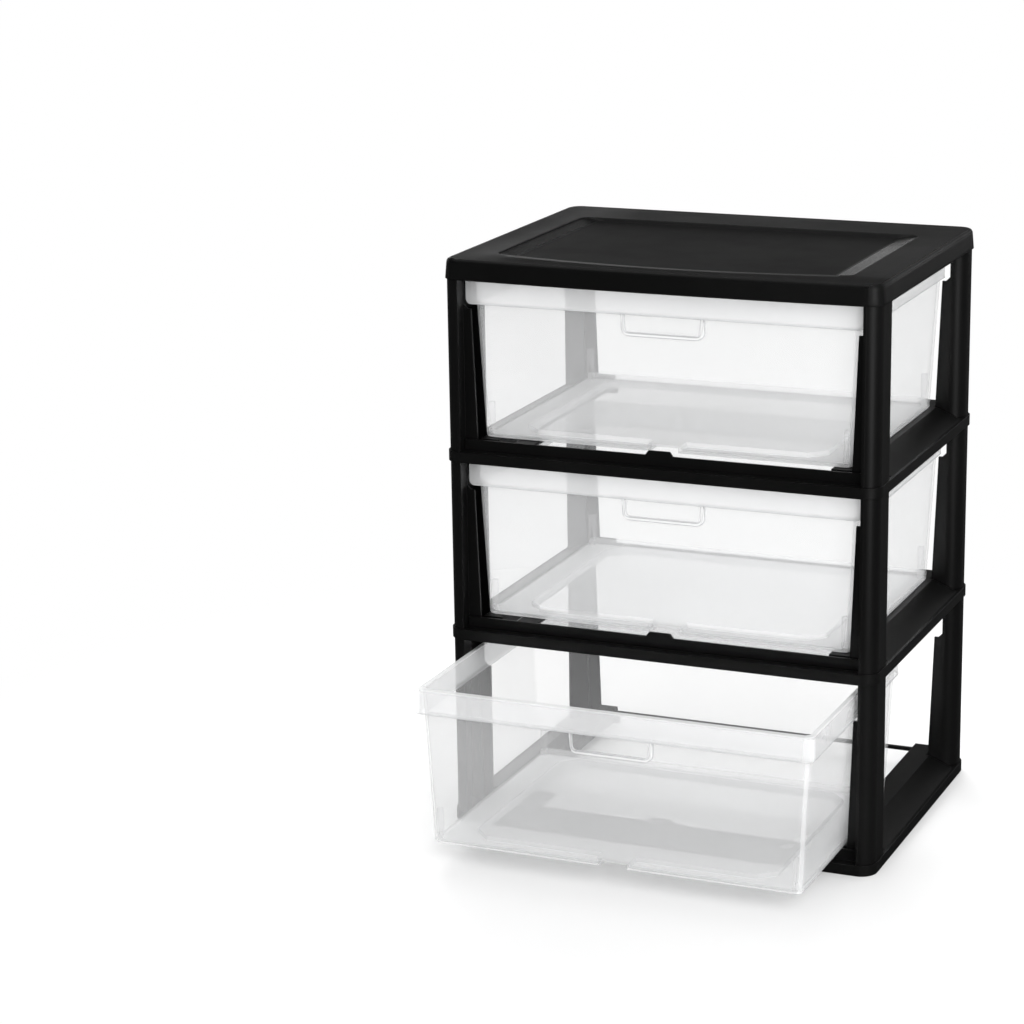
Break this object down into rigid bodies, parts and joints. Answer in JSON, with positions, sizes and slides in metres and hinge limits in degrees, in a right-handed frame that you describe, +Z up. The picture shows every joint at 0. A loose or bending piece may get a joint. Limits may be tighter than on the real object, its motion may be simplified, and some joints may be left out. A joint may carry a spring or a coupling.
{
  "type": "plastic drawer tower",
  "caption": "Upright black plastic frame of shelves and corner posts under a cover with a shallow recess, with clear lidless drawers that slide out of the front.",
  "frame": {"origin": "middle of the underside of the base's front rail, on the floor", "axes": "+X to the right across the front, +Y from the front to the back, +Z up from the floor"},
  "size_m": [0.392, 0.408, 0.51],
  "materials": {
    "black_plastic": "satin moulded polypropylene, black",
    "clear_plastic": "clear, slightly milky moulded polypropylene, smooth"
  },
  "bodies": {
    "frame": {"top_cover": "black_plastic", "upper_shelf": "black_plastic", "lower_shelf": "black_plastic", "base_frame": "black_plastic", "top_front_left_post": "black_plastic", "top_front_right_post": "black_plastic", "top_rear_left_post": "black_plastic", "top_rear_right_post": "black_plastic", "middle_front_left_post": "black_plastic", "middle_front_right_post": "black_plastic", "middle_rear_left_post": "black_plastic", "middle_rear_right_post": "black_plastic", "bottom_front_left_post": "black_plastic", "bottom_front_right_post": "black_plastic", "bottom_rear_left_post": "black_plastic", "bottom_rear_right_post": "black_plastic"},
    "top_drawer_body": {"top_drawer": "clear_plastic"},
    "middle_drawer_body": {"middle_drawer": "clear_plastic"},
    "bottom_drawer_body": {"bottom_drawer": "clear_plastic"}
  },
  "joints": [
    {"name": "top_drawer_slide", "type": "slide", "parent": "frame", "child": "top_drawer_body", "axis": [0, -1, 0], "range_m": [0, 0.228]},
    {"name": "middle_drawer_slide", "type": "slide", "parent": "frame", "child": "middle_drawer_body", "axis": [0, -1, 0], "range_m": [0, 0.228]},
    {"name": "bottom_drawer_slide", "type": "slide", "parent": "frame", "child": "bottom_drawer_body", "axis": [0, -1, 0], "range_m": [-0.125, 0.103]}
  ]
}
